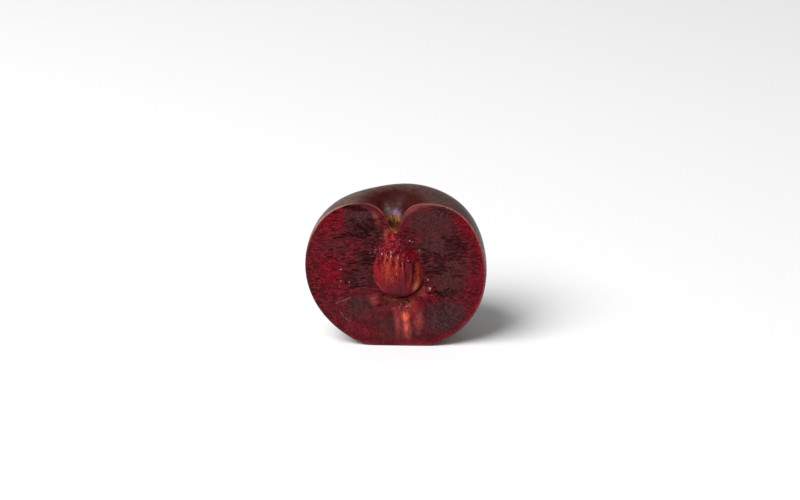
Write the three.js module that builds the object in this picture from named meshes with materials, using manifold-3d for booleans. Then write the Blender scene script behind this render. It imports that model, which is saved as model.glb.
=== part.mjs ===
// Half of a ripe plum with its stone, standing upright on a small flat spot at the blossom end.
//
// Units are millimetres and +Z is up. The plum is cut from stem to tip along its seam, a little in front of
// the middle of its stone, so the flat cut face looks towards -Y and the unpeeled cheek swells towards +Y.
// The origin is on the flat spot that the half rests on, below its weight.
//
// Two solids: plum_half is the skin and flesh, which grew as one piece, and stone is the stone in it.

import * as THREE from "three";
import Module from "manifold-3d";
import { mergeVertices } from "three/addons/utils/BufferGeometryUtils.js";

const wasm = await Module();
wasm.setup();

// ---- Driving dimensions, in mm and degrees ----

const CUT_FACE_Y = -9; // the plane of the cut
const CENTRE_HEIGHT = 27; // of the point that the outline's radii start from, above the flat spot

// The outline of the cut face without its stem basin: its radius every 30 degrees, from +X round by the top.
const OUTLINE_RADII = [29.7, 30.1, 29.1, 26.4, 29.6, 31.3, 30.3, 29.2, 28.7, 28.9, 29.5, 30.1];

const WIDEST_BEHIND_CUT = 2.5; // the knife passed this far in front of the plum's middle
const CHEEK_DEPTH = 27; // from the widest section to the back of the cheek
const CHEEK_FULLNESS = 2.22; // 2 is an ellipse, and more is squarer
const FULLER_BELOW = 0.25; // added to the fullness at the blossom end, and taken off at the stem end
const CHEEK_DRIFT = 0.065; // how far the cheek drifts towards +X, for each mm behind the cut

// The seam's dent at the stem end, which fills out behind the cut.
const SEAM_FILL = 4.7; // added to the radius at its middle, well behind the cut
const SEAM_LEAN = 3; // that its middle leans towards +X from straight above
const SEAM_HALF_ANGLE = 28; // from its middle
const SEAM_DEPTH = 9; // behind the cut, where most of it has filled out

// The stem basin: a narrow throat in a wide shallow bowl, as shares of the radius by the angle from its axis.
const BASIN_LEAN = 2.4; // that its axis leans towards -X
const THROAT_SHARE = 0.285;
const THROAT_HALF_ANGLE = 9;
const THROAT_WIDER_BEHIND = 1.6; // added to its half angle, well behind the cut
const THROAT_DEPTH = 4; // behind the cut, where most of that has been added
const THROAT_STEEPNESS = 4.15;
const BOWL_SHARE = 0.079;
const BOWL_ANGLE = 34;

// The round scar in the floor of the throat, where the stalk came off.
const SCAR_RADIUS = 1.7;
const SCAR_FLOOR_HEIGHT = 42.8;
const SCAR_BEHIND_CUT = 0.4;
const SCAR_SIDE = -0.9; // towards -X from the origin

// The stone, cut free of the flesh in front of it and standing a little proud of the cut face.
const STONE_SIDE = 0.2; // of its middle, towards +X from the origin
const STONE_BEHIND_CUT = 2; // of its middle
const STONE_HEIGHT = 28.9; // of its middle, above the flat spot
const STONE_HALF_SIZE = new THREE.Vector3(8.7, 5.2, 11.7); // across, front to back, stem end to tip
const STONE_LEAN = 8; // that its stem end leans towards -X
const STONE_TAPER = 0.24; // how much narrower it gets towards the stem end
const STONE_KEEL = 1.75; // 2 is an oval section, and less brings its two edges to a keel
const RIB_COUNT = 11;
const RIB_SHARE = 0.022; // height of the lengthwise ribs, as a share of the radius

// The hollow that the stone lies in. It is looser below and on one side, where the flesh has come away.
const HOLLOW_CLEARANCE = 0.6;
const HOLLOW_SHIFT = new THREE.Vector3(0.15, 0, -0.2);

// How finely the curved surfaces are faceted.
const PLUM_FACETS = [84, 42];
const STONE_FACETS = [40, 26];
const SCAR_FACETS = 20;
const BEYOND = 200; // larger than anything here, for the blocks that trim the plum

// ---- Shapes ----

// A smooth closed curve through equally spaced radii: its radius at an angle, in radians, from +X.
function radiusThrough(radii, angle) {
  const n = radii.length;
  return radii.reduce((sum, radius, i) => {
    const away = angle - (2 * Math.PI * i) / n;
    const chord = n * Math.sin(away / 2);
    const share = Math.abs(chord) < 1e-9 ? 1 : (Math.sin((n * away) / 2) * Math.cos(away / 2)) / chord;
    return sum + radius * share;
  }, 0);
}

// A share that rises smoothly from 0 at the cut to 1 well behind it, and reaches most of that at a depth.
function shareBehind(behindCut, depth) {
  return 1 - Math.exp(-((Math.max(0, behindCut) / depth) ** 2));
}

// The share of the radius that the stem basin takes away, at an angle from its axis and behind the cut.
function basinShare(degrees, behindCut) {
  const halfAngle = THROAT_HALF_ANGLE + THROAT_WIDER_BEHIND * shareBehind(behindCut, THROAT_DEPTH);
  const throat = THROAT_SHARE / (1 + (degrees / halfAngle) ** THROAT_STEEPNESS);
  const bowl = BOWL_SHARE * Math.exp(-((degrees / BOWL_ANGLE) ** 2));
  return throat + bowl;
}

// What the filled-out seam adds to the radius, at an angle from +X in radians and a depth behind the cut.
function seamFill(angle, behindCut) {
  const middle = THREE.MathUtils.degToRad(90 - SEAM_LEAN);
  const fromMiddle = THREE.MathUtils.radToDeg(Math.acos(Math.cos(angle - middle)));
  const spread = Math.exp(-((fromMiddle / SEAM_HALF_ANGLE) ** 2));
  return SEAM_FILL * shareBehind(behindCut, SEAM_DEPTH) * spread;
}

const basinLean = THREE.MathUtils.degToRad(BASIN_LEAN);
const basinAxis = new THREE.Vector3(-Math.sin(basinLean), 0, Math.cos(basinLean));

// Moves a point of the unit sphere to the skin of the whole plum.
function skinPoint(p) {
  const angle = Math.atan2(p.z, p.x);
  const fullness = CHEEK_FULLNESS - FULLER_BELOW * Math.sin(angle);
  const swell = Math.max(0, 1 - Math.abs(p.y) ** fullness) ** (1 / fullness);
  const behindCut = WIDEST_BEHIND_CUT + CHEEK_DEPTH * p.y;
  const radius = (radiusThrough(OUTLINE_RADII, angle) + seamFill(angle, behindCut)) * swell;
  const place = new THREE.Vector3(radius * Math.cos(angle), behindCut, radius * Math.sin(angle));
  const degrees = THREE.MathUtils.radToDeg(place.angleTo(basinAxis));
  place.multiplyScalar(1 - basinShare(degrees, place.y));
  const drift = CHEEK_DRIFT * Math.max(0, place.y);
  return place.add(new THREE.Vector3(drift, CUT_FACE_Y, CENTRE_HEIGHT));
}

// Moves a point of the unit sphere to the surface of an upright stone, or of the hollow round it.
function stonePoint(p, halfSize, ribShare) {
  const around = Math.atan2(p.y, p.x);
  const corner = Math.abs(Math.cos(around)) ** STONE_KEEL + Math.abs(Math.sin(around)) ** STONE_KEEL;
  const taper = 1 - STONE_TAPER * p.z;
  const ribs = 1 + ribShare * Math.cos(RIB_COUNT * around) * (1 - p.z * p.z);
  const across = Math.hypot(p.x, p.y) * corner ** (-1 / STONE_KEEL) * taper * ribs;
  const unit = new THREE.Vector3(across * Math.cos(around), across * Math.sin(around), p.z);
  return unit.multiply(halfSize);
}

// A sphere geometry whose points have each been moved by a function. Its poles are on the Y axis.
function movedSphere([facetsAround, facetsAlong], move) {
  const geometry = new THREE.SphereGeometry(1, facetsAround, facetsAlong);
  const places = geometry.getAttribute("position");
  for (let i = 0; i < places.count; i++) {
    const moved = move(new THREE.Vector3().fromBufferAttribute(places, i));
    places.setXYZ(i, moved.x, moved.y, moved.z);
  }
  return geometry;
}

// The stone's geometry about its own middle, leaning as it lies. The sphere's poles become its two ends.
function stoneGeometry(halfSize, ribShare) {
  const lean = THREE.MathUtils.degToRad(-STONE_LEAN);
  const upright = (p) => stonePoint(new THREE.Vector3(p.x, -p.z, p.y), halfSize, ribShare);
  return movedSphere(STONE_FACETS, upright).rotateY(lean);
}

// A large block about a middle, of which one face trims the plum.
function trimmingBlock(middle) {
  return new THREE.BoxGeometry(BEYOND, BEYOND, BEYOND).translate(...middle.toArray());
}

// ---- Solids ----

// A three.js geometry as a manifold-3d solid.
function solidOf(geometry) {
  const bare = geometry.clone();
  bare.deleteAttribute("normal");
  bare.deleteAttribute("uv");
  const merged = mergeVertices(bare, 1e-4);
  const mesh = new wasm.Mesh({
    numProp: 3,
    vertProperties: new Float32Array(merged.getAttribute("position").array),
    triVerts: new Uint32Array(merged.index.array),
  });
  return new wasm.Manifold(mesh);
}

// A manifold-3d solid as a named three.js mesh.
function meshOf(name, solid, material) {
  const { vertProperties, triVerts } = solid.getMesh();
  const geometry = new THREE.BufferGeometry();
  geometry.setAttribute("position", new THREE.BufferAttribute(new Float32Array(vertProperties), 3));
  geometry.setIndex(new THREE.BufferAttribute(new Uint32Array(triVerts), 1));
  geometry.computeVertexNormals();
  const mesh = new THREE.Mesh(geometry, material);
  mesh.name = name;
  return mesh;
}

const stoneMiddle = new THREE.Vector3(STONE_SIDE, CUT_FACE_Y + STONE_BEHIND_CUT, STONE_HEIGHT);

// The skin and flesh: a whole plum trimmed by the knife and by the flat spot, less the scar and the hollow.
function plumHalf() {
  const behindKnife = trimmingBlock(new THREE.Vector3(0, CUT_FACE_Y + BEYOND / 2, 0));
  const aboveGround = trimmingBlock(new THREE.Vector3(0, 0, BEYOND / 2));

  const scarDepth = 10; // enough to come out of the basin above
  const scar = new THREE.CylinderGeometry(SCAR_RADIUS, SCAR_RADIUS, scarDepth, SCAR_FACETS)
    .rotateX(Math.PI / 2)
    .translate(SCAR_SIDE, CUT_FACE_Y + SCAR_BEHIND_CUT, SCAR_FLOOR_HEIGHT + scarDepth / 2);

  const hollowHalfSize = STONE_HALF_SIZE.clone().addScalar(HOLLOW_CLEARANCE);
  const hollowMiddle = stoneMiddle.clone().add(HOLLOW_SHIFT);
  const hollow = stoneGeometry(hollowHalfSize, 0).translate(...hollowMiddle.toArray());

  return solidOf(movedSphere(PLUM_FACETS, skinPoint))
    .intersect(solidOf(behindKnife))
    .intersect(solidOf(aboveGround))
    .subtract(solidOf(scar))
    .subtract(solidOf(hollow));
}

// ---- The object ----

const fleshMaterial = new THREE.MeshStandardMaterial({ color: 0x5e1522, roughness: 0.35, metalness: 0 });
const shellMaterial = new THREE.MeshStandardMaterial({ color: 0x9c4a2c, roughness: 0.5, metalness: 0 });

const plum = new THREE.Group();
plum.name = "plum";
plum.add(meshOf("plum_half", plumHalf(), fleshMaterial));

const stone = meshOf("stone", solidOf(stoneGeometry(STONE_HALF_SIZE, RIB_SHARE)), shellMaterial);
stone.position.copy(stoneMiddle);
plum.add(stone);

export default plum;
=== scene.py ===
"""The looks of a halved plum: its wet cut face, its speckled skin and the stone that sits in it.

Every size here is in millimetres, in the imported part's own frame: +Z up from the flat spot, -Y out of the cut
face and +X to the right. MM turns it into metres. Places on the cut face are (x, z) pairs.
"""

import functools
import itertools
import math

import bpy
import numpy as np
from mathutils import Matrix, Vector


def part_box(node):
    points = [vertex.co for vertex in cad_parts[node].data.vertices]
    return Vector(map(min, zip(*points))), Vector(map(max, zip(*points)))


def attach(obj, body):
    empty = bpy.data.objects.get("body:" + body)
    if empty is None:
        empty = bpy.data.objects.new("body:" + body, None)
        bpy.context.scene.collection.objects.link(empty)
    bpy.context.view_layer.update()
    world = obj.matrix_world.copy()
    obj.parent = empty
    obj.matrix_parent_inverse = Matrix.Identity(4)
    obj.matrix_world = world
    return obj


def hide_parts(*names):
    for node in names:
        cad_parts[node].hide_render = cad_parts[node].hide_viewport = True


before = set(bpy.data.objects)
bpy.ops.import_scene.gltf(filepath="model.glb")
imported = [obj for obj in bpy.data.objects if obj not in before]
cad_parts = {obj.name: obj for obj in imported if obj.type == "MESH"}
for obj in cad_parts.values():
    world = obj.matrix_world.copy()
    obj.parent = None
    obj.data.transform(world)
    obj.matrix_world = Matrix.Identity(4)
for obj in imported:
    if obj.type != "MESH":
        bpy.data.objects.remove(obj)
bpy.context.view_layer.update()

MM = 0.001
SEED = 11

# ---- The camera's view ----

CAMERA_AZIMUTH = 2  # degrees to the right of straight in front of the cut face
CAMERA_ELEVATION = 22.9
CAMERA_DISTANCE = 700
CAMERA_LENS = 95.4
CAMERA_SENSOR = 36
AIM = (1.2, -9, 35.0)  # the point in the middle of the frame

# ---- The plum's shape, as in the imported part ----

plum_low, plum_high = (np.array(corner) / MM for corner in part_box("plum_half"))

CUT_Y = plum_low[1]
CENTRE_Z = 27
OUTLINE_RADII = (29.7, 30.1, 29.1, 26.4, 29.6, 31.3, 30.3, 29.2, 28.7, 28.9, 29.5, 30.1)
WIDEST_BEHIND_CUT = 2.5
CHEEK_DEPTH = plum_high[1] - CUT_Y - WIDEST_BEHIND_CUT
CHEEK_FULLNESS = 2.22
FULLER_BELOW = 0.25
CHEEK_DRIFT = 0.065
SEAM_FILL = 4.7
SEAM_HALF_ANGLE = 28
SEAM_LEAN = 3
SEAM_DEPTH = 9
BASIN_LEAN = 2.4
THROAT_SHARE = 0.285
THROAT_HALF_ANGLE = 9
THROAT_WIDER_BEHIND = 1.6
THROAT_DEPTH = 4
THROAT_STEEPNESS = 4.15
BOWL_SHARE = 0.079
BOWL_ANGLE = 34
FLAT_SPOT_SOFTNESS = 0.5

# The scar where the stalk came off, as a further share of the radius about its own direction.
SCAR_PLACE = np.array([-1.1, CUT_Y + 0.5, 43.4])
SCAR_SHARE = 0.036
SCAR_HALF_ANGLE = 6.0
SCAR_STEEPNESS = 14
COLLAR_SHARE = 0.012  # a low ring of cork round the scar
COLLAR_ANGLE = 8.2
COLLAR_WIDTH = 1.4
GLINT_PLACE = np.array([-0.1, CUT_Y + 3.0, 46.7])  # a violet highlight painted on the basin's wall behind the scar
GLINT_HALF_SIZE = (1.5, 3.0, 0.8)
SHINE_PLACE = np.array([-3.0, CUT_Y + 2.0, 47.9])  # a duller painted highlight on its left, towards the cut, in the dust and sheen tint
SHINE_HALF_SIZE = (1.3, 3.0, 2.0)

# The stone, standing in its hollow.
STONE_X = 0.2
STONE_Z = 28.9
STONE_BEHIND_CUT = 2
STONE_HALF_SIZE = (8.7, 5.2, 11.7)
STONE_LEAN = 8
STONE_TAPER = 0.24
STONE_KEEL = 1.75
PROUD_SOFTNESS = 0.2  # how softly its front rises out of the cut

# Red flesh torn over the stone's upper end, as a flap: how far its edge is from the stone's middle, by the
# angle from +X, and the angles over which it begins and ends.
FLAP_EDGE = {12: 9.6, 18: 6.4, 28: 4.8, 45: 3.8, 62: 3.9, 80: 4.7, 95: 5.2, 110: 5.6, 125: 6.8, 142: 9.4}
FLAP_BEGINS, FLAP_ENDS = (14, 22), (146, 136)
FLAP_RAGGEDNESS = 0.55
FLAP_THICKNESS = 0.16  # at its torn edge
FLAP_SWELL, FLAP_SWELL_WITHIN = 0.5, 1.2  # how much thicker it gets, and how far from its edge
FLAP_FADES = (0.3, -0.6)  # how far past the mouth of the stone's opening its thickness fades out
FLAP_LEAVES_STONE = (2.4, 1.0)  # and how far past it the flesh stops following the stone's front
UNDER_SHARES = (0.35, 0.7)  # how far its underside's two rings are from the mouth towards its edge
UNDER_DEPTH = 0.12
FLAP_SUNK = 0.04  # how far its underside is sunk into the stone's front

# How far the flesh has come away from the stone, by the angle from +X, from below on the left to the right.
# It stays as at the first angle on the stone's left side.
GAP_WIDTH = {-120: 0.05, -104: 0.1, -90: 0.3, -74: 0.45, -60: 0.4, -44: 0.9, -28: 0.6, -10: 0.05}
LEFT_SIDE = 150
GAP_UNEVENNESS = 0.15
LIP_LEAST_GAP = 0.2
LIP_DEPTH = 0.75  # how far the flesh sinks beside the gap, for each mm that it is wider than the least

# The hollow behind the cut: how far it is clear of the stone, and how deep each of its rings of points is.
HOLLOW_CLEARANCE = 0.6
HOLLOW_DEPTHS = (7.3, 6.6, 5.4, 3.8, 2.2, 1.0)
HOLLOW_GAP_SHARE, HOLLOW_GAP_DEPTH = 0.8, 1.6  # how much of the gap goes on behind the cut, and how deep

# The rounded edge of the cut skin, and how much larger it gets at the notch's right, between two angles about
# the stone's middle.
BEVEL, NOTCH_BEVEL = 0.12, 0.3
NOTCH_BEVEL_BEGINS, NOTCH_BEVEL_ENDS = (46, 54), (90, 86)

# How finely the plum is meshed: columns go round its outline, and rings from the stone's hollow to the cheek.
COLUMNS = 720
FACE_RINGS = 84
SKIN_RINGS = 42
OUTLINE_STEPS = 14400  # for measuring along the outline
NOTCH_ANGLE = 9  # about the basin's axis, where the columns are closer
NOTCH_CROWDING = 1.2
RING_CROWDING = 0.6  # the face's rings are closer at the stone and at the skin
SKIN_CROWDING = 1.35  # and the skin's are closer at the cut


# ---- Small numeric helpers ----

def smoothstep(low, high, value):
    """A smooth step from 0 at low to 1 at high. low may be above high, and then it falls."""
    t = np.clip((value - low) / (high - low), 0, 1)
    return t * t * (3 - 2 * t)


def soft_floor(value, softness):
    """The value, or 0 where it is lower, with a rounded corner between the two."""
    return softness * np.logaddexp(0, value / softness)


def bell(value, width):
    """1 at 0, falling smoothly to nothing on both sides, and to 0.37 at the width."""
    return np.exp(-((value / width) ** 2))


def turned(x, z, degrees):
    """Places turned clockwise about the origin, as seen from the front."""
    angle = math.radians(degrees)
    return x * math.cos(angle) + z * math.sin(angle), z * math.cos(angle) - x * math.sin(angle)


def by_angle(table, degrees, softness=4):
    """A smooth curve through a table of angles and values, by the angle in degrees."""
    keys = sorted(table)
    spread = np.linspace(-1, 1, 7) * softness
    values = np.interp(degrees[..., None] + spread, keys, [table[key] for key in keys])
    return values.mean(-1)


def noise(points, seed=0):
    """Smooth value noise in -1..1 at an array of points, whose last axis holds three coordinates."""
    points = np.asarray(points, float)
    cell = np.floor(points).astype(np.int64)
    part = points - cell
    part = part * part * (3 - 2 * part)
    total = np.zeros(points.shape[:-1])
    for corner in itertools.product((0, 1), repeat=3):
        at = cell + np.array(corner)
        mixed = at[..., 0] * 374761393 + at[..., 1] * 668265263 + at[..., 2] * 1440662683
        mixed = (mixed + (seed + SEED) * 974634777) & 0xFFFFFFFF
        mixed = ((mixed ^ (mixed >> 13)) * 1274126177) & 0xFFFFFFFF
        mixed = (mixed ^ (mixed >> 16)) & 0xFFFF
        weight = np.prod(np.where(corner, part, 1 - part), axis=-1)
        total += weight * (mixed / 32767.5 - 1)
    return total


def flat_noise(x, z, size, seed=0):
    """Noise on the cut face, with features about size mm across."""
    return noise(np.stack([x / size, z / size, np.full_like(x, 0.37)], -1), seed)


# ---- The plum's skin and outline ----

def outline_radius(angle):
    """The outline's radius at an angle in radians: a smooth closed curve through OUTLINE_RADII."""
    n = len(OUTLINE_RADII)
    total = np.zeros_like(angle)
    for i, radius in enumerate(OUTLINE_RADII):
        away = angle - 2 * math.pi * i / n
        chord = n * np.sin(away / 2)
        near = np.abs(chord) < 1e-9
        share = np.sin(n * away / 2) * np.cos(away / 2) / np.where(near, 1, chord)
        total += radius * np.where(near, 1, share)
    return total


def degrees_from(points, direction):
    """The angle of each point, seen from the outline's centre, from a direction."""
    direction = np.array(direction, float) / np.linalg.norm(direction)
    cosine = points @ direction / np.linalg.norm(points, axis=-1)
    return np.degrees(np.arccos(np.clip(cosine, -1, 1)))


OUTLINE_CENTRE = np.array([0, CUT_Y, CENTRE_Z])


def basin_share(points):
    """The share of the radius that the stem basin and the scar in its floor take away."""
    lean = math.radians(BASIN_LEAN)
    degrees = degrees_from(points, (-math.sin(lean), 0, math.cos(lean)))
    behind = np.maximum(0, points[..., 1])
    half_angle = THROAT_HALF_ANGLE + THROAT_WIDER_BEHIND * (1 - bell(behind, THROAT_DEPTH))
    throat = THROAT_SHARE / (1 + (degrees / half_angle) ** THROAT_STEEPNESS)
    bowl = BOWL_SHARE * bell(degrees, BOWL_ANGLE)
    degrees = degrees_from(points, SCAR_PLACE - OUTLINE_CENTRE)
    scar = SCAR_SHARE / (1 + (degrees / SCAR_HALF_ANGLE) ** SCAR_STEEPNESS)
    collar = COLLAR_SHARE * bell(degrees - COLLAR_ANGLE, COLLAR_WIDTH)
    return throat + bowl + scar - collar


def skin_points(angle, latitude):
    """Points of the skin, by the angle round the outline and the latitude behind the widest section."""
    depth = np.sin(latitude)
    fullness = CHEEK_FULLNESS - FULLER_BELOW * np.sin(angle)
    swell = np.maximum(0, 1 - np.abs(depth) ** fullness) ** (1 / fullness)
    behind = np.broadcast_to(WIDEST_BEHIND_CUT + CHEEK_DEPTH * depth, angle.shape)
    from_seam = np.degrees(np.arccos(np.cos(angle - math.radians(90 - SEAM_LEAN))))
    filled = 1 - bell(np.maximum(0, behind), SEAM_DEPTH)
    seam = SEAM_FILL * filled * bell(from_seam, SEAM_HALF_ANGLE)
    radius = (outline_radius(angle) + seam) * swell
    points = np.stack([radius * np.cos(angle), behind, radius * np.sin(angle)], -1)
    points = points * (1 - basin_share(points))[..., None]
    points[..., 0] += CHEEK_DRIFT * np.maximum(0, points[..., 1])
    points = points + OUTLINE_CENTRE
    points[..., 2] = soft_floor(points[..., 2], FLAT_SPOT_SOFTNESS)
    return points


CUT_LATITUDE = math.asin(-WIDEST_BEHIND_CUT / CHEEK_DEPTH)


def column_angles():
    """The columns' angles about the outline's centre, even along the outline but closer at the notch."""
    angle = np.linspace(0, 2 * math.pi, OUTLINE_STEPS + 1)
    line = skin_points(angle, np.full_like(angle, CUT_LATITUDE))
    steps = np.linalg.norm(np.diff(line, axis=0), axis=1)
    notch = bell(np.degrees(angle[1:]) - 90 - BASIN_LEAN, NOTCH_ANGLE)
    travelled = np.concatenate([[0], np.cumsum(steps * (1 + NOTCH_CROWDING * notch))])
    even = np.arange(COLUMNS) / COLUMNS * travelled[-1]
    return np.interp(even, travelled, angle)


# ---- The stone's shape ----

def stone_half_thickness(x, z, swell=0.0):
    """Half the stone's thickness at points of the cut face, or below 0 outside it.

    swell, in mm, makes the stone larger all round.
    """
    across, along = turned(x - STONE_X, z - STONE_Z, STONE_LEAN)
    along = along / (STONE_HALF_SIZE[2] + swell)
    girth = np.sqrt(np.maximum(0, 1 - along * along)) * (1 - STONE_TAPER * along)
    girth = np.maximum(girth, 1e-6)
    used = np.abs(across / ((STONE_HALF_SIZE[0] + swell) * girth)) ** STONE_KEEL
    left = np.maximum(0, 1 - used) ** (1 / STONE_KEEL)
    return np.where(used < 1, (STONE_HALF_SIZE[1] + swell) * girth * left, -1.0)


def around_stone(theta, reach):
    """The x and z of places at a reach from the stone's middle, along angles theta in radians."""
    return STONE_X + reach * np.cos(theta), STONE_Z + reach * np.sin(theta)


def stone_reach(theta, behind_cut, swell=0.0):
    """How far the stone's section at a depth reaches from its middle, along angles theta in radians."""
    low, high = np.zeros_like(theta), np.full_like(theta, 2.0 * STONE_HALF_SIZE[2])
    for _ in range(30):
        middle = (low + high) / 2
        x, z = around_stone(theta, middle)
        inside = stone_half_thickness(x, z, swell) > abs(behind_cut - STONE_BEHIND_CUT)
        low, high = np.where(inside, middle, low), np.where(inside, high, middle)
    return low


def proud(x, z):
    """How far the stone's front stands in front of the cut, at points of the cut face, or 0 outside it."""
    return soft_floor(stone_half_thickness(x, z) - STONE_BEHIND_CUT, PROUD_SOFTNESS)


# ---- Places on the cut face ----

PATCH_RAGGEDNESS = 0.22
PATCH_SEED = 20


def patch(x, z, half_size, lean, edge, seed):
    """1 inside an oval patch about the origin, falling to 0 across a ragged edge. It leans anticlockwise."""
    across, along = turned(x, z, lean)
    reach = np.hypot(across / half_size[0], along / half_size[1])
    reach = reach + PATCH_RAGGEDNESS * (flat_noise(x, z, 1.7, seed) + 0.8 * flat_noise(x, z, 0.7, seed + 1))
    return smoothstep(1 + edge, 1 - edge, reach)


def patches(x, z, places, edge):
    """The strongest of several patches at points of the cut face."""
    total = np.zeros_like(x)
    for i, (middle_x, middle_z, half_x, half_z, strength, *lean) in enumerate(places):
        seed = PATCH_SEED + 2 * i
        oval = patch(x - middle_x, z - middle_z, (half_x, half_z), sum(lean), edge, seed)
        total = np.maximum(total, strength * oval)
    return total


# Patches of the flesh. Each has the x and z of its middle, its half width and half height, its strength and,
# where it leans, its lean in degrees.
FACE_PATCHES = {
    "crimson": (
        (-21.4, 45.8, 2.8, 5.8, 1, -32), (-19.4, 44.4, 2, 2, 0.7), (-22.3, 27, 3.8, 6, 1),
        (-21, 21, 3.4, 3, 0.35), (22.4, 44.2, 2.2, 4.8, 0.8, 42), (26, 22.5, 2.6, 7.5, 0.45, -6),
        (23.6, 41, 1.8, 5, 0.6, 20), (11, 19.4, 3.4, 2.4, 1), (6, 15.6, 2.7, 2.8, 1, 12),
        (2.6, 42.2, 1.5, 2.6, 0.6), (7.4, 41.1, 0.9, 0.5, 0.9), (-2.2, 36.9, 3.6, 2.6, 1, -8),
        (-1.4, 39.4, 2.2, 2.2, 1), (2.4, 40.6, 1.4, 1.6, 0.8), (3.6, 33, 3.4, 3, 1),
        (3.2, 38, 2.4, 3.4, 0.55), (1, 12.8, 2.4, 1.2, 0.8), (5.6, 11.8, 1.1, 2.4, 1),
        (-17.8, 13.2, 3.4, 1.4, 0.4, 40), (-10, 5.6, 6, 2.2, 0.35, -20),
    ),
    "sheen": (
        (-12, 47.2, 5, 3.4, 1), (-13.4, 43.4, 3, 3, 0.5), (-8.4, 47.6, 2.6, 3.4, 0.8, 20),
        (11, 45, 8.2, 6.6, 1), (13.4, 37, 5.6, 5, 0.95), (17.4, 26.5, 6.4, 7.4, 0.9),
        (-13.6, 13.9, 4.8, 3.8, 1, 10), (-11.6, 25.4, 2.4, 5, 0.5), (16.6, 10.6, 7, 5.6, 1, 20),
        (-3.4, 6, 5.4, 4.4, 0.7), (-20.5, 35.4, 4, 2.4, 0.45),
    ),
    "dark": (
        (-10.6, 41.4, 4, 3.4, 1, -30), (-8.4, 38.2, 2.2, 2.6, 0.8), (-6.5, 39.4, 2, 3.4, 1, -14),
        (-15, 39.6, 3.6, 0.9, 0.6, -12), (-13.4, 49.7, 3.8, 0.7, 0.7, -8), (-8.2, 45.8, 1.6, 1, 0.6),
        (-9.8, 31.4, 3.2, 4.2, 0.85), (-8.8, 26, 1.4, 4.4, 0.7), (-12.4, 25, 3.6, 4.2, 0.55),
        (15.6, 48.8, 4.2, 1.8, 1, -22), (8.6, 35, 1.6, 1.2, 1), (9.8, 31.2, 1.2, 1.4, 0.8),
        (13.2, 33.6, 1.6, 0.7, 0.35, -10), (12.6, 27.6, 3, 1.6, 0.4), (14.6, 19.6, 3.4, 1.6, 0.8, -12),
        (20.6, 36.6, 3.6, 3.2, 0.6), (17, 38.8, 2.2, 1.4, 0.5, -10), (3.4, 38.8, 2.2, 3.2, 0.6),
        (-13, 15.6, 4.4, 1.8, 0.35), (7.8, 4.6, 2.4, 2.8, 0.5), (15.6, 10.6, 6.6, 5, 0.7, 20),
        (-12.6, 45.4, 4.8, 4.2, 0.5),
    ),
    "orange": (
        (3, 11, 1.3, 2.5, 1), (3.4, 7, 1.2, 3.6, 0.75, 4), (0.3, 8.8, 0.9, 3.8, 0.6, 4),
        (7.4, 9.2, 1.3, 3.4, 0.55, -3), (0.6, 12.4, 1.4, 0.6, 0.45), (-7.4, 16.8, 1.3, 1.6, 0.5, 20),
        (-6.6, 46.4, 0.7, 2.2, 0.4, 28), (-3.6, 40.2, 0.7, 1.3, 0.62), (-3.2, 38.2, 0.5, 0.5, 0.55),
        (-1.3, 39.8, 0.35, 1.1, 0.6, 8), (-0.4, 38.6, 0.12, 2, 0.5, 22), (4.2, 15.2, 0.9, 0.5, 0.7),
        (5.6, 14.6, 1.3, 2.4, 0.4), (8.8, 19.2, 1.3, 1, 0.35), (0.9, 13.5, 0.5, 0.4, 0.6),
        (-0.8, 13.7, 0.6, 0.5, 0.5),
    ),
    "ochre": (
        (-2.6, 41.8, 1, 0.8, 0.9), (-0.7, 41.7, 1.2, 0.6, 1), (-1.6, 42.5, 0.9, 0.5, 0.6),
        (-3.4, 38.4, 0.5, 0.5, 0.5),
    ),
    "olive": (
        (-1.2, 16.9, 2.6, 1, 0.9), (3.6, 16.6, 2, 0.9, 0.8), (8.2, 20.4, 0.9, 1.9, 1, -36),
        (8.6, 34.6, 1.4, 1.2, 0.6),
    ),
    "wet": (
        (-4.4, 34.8, 4.8, 1.5, 1), (2.2, 33, 2.2, 1.8, 1), (0.6, 37.4, 4.4, 3.2, 0.45),
        (4.8, 38.2, 0.9, 1.3, 0.9), (7.8, 35.5, 0.6, 1, 1), (10.2, 21.2, 2, 1.7, 1),
        (10.1, 24.5, 0.8, 0.8, 1), (2.4, 14.6, 3, 0.8, 0.6), (-17.2, 25.2, 2.6, 3.6, 0.25, 34),
        (-21.6, 22, 3, 6, 0.25), (25.4, 31, 2, 6, 0.25), (-0.6, 41.4, 1, 0.9, 0.8),
    ),
}

# Bands inside the skin, by the outline's angle: how crimson they are, how salmon, and how tan the cut skin,
# with a highlight painted on it that is strongest at the upper left, towards the light.
CRIMSON_BAND = {0: 0.85, 20: 1.0, 50: 1.0, 62: 0.5, 85: 0.2, 100: 0.3, 125: 0.3, 140: 0.7, 165: 0.5,
                195: 0.25, 225: 0.5, 260: 0.3, 300: 0.45, 330: 0.7, 360: 0.85}
SALMON_BAND = {50: 0.0, 60: 0.3, 70: 0.6, 79: 1.0, 84: 0.6, 91: 0.0, 95: 0.2, 98: 0.9, 108: 0.7, 116: 0.0}
SALMON_WIDTH = {50: 1.0, 66: 1.2, 78: 2.8, 88: 2.4, 94: 0.8, 104: 1.5, 116: 0.7}  # of the same bands, in mm
CUT_SKIN_AND_HIGHLIGHT_BAND = {0: 0.25, 25: 0.45, 55: 0.4, 68: 0.3, 78: 0.0, 104: 0.0, 118: 0.1, 128: 0.8, 148: 1.0,
                 160: 0.35, 175: 0.05, 270: 0.05, 320: 0.1, 345: 0.2, 360: 0.25}

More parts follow.
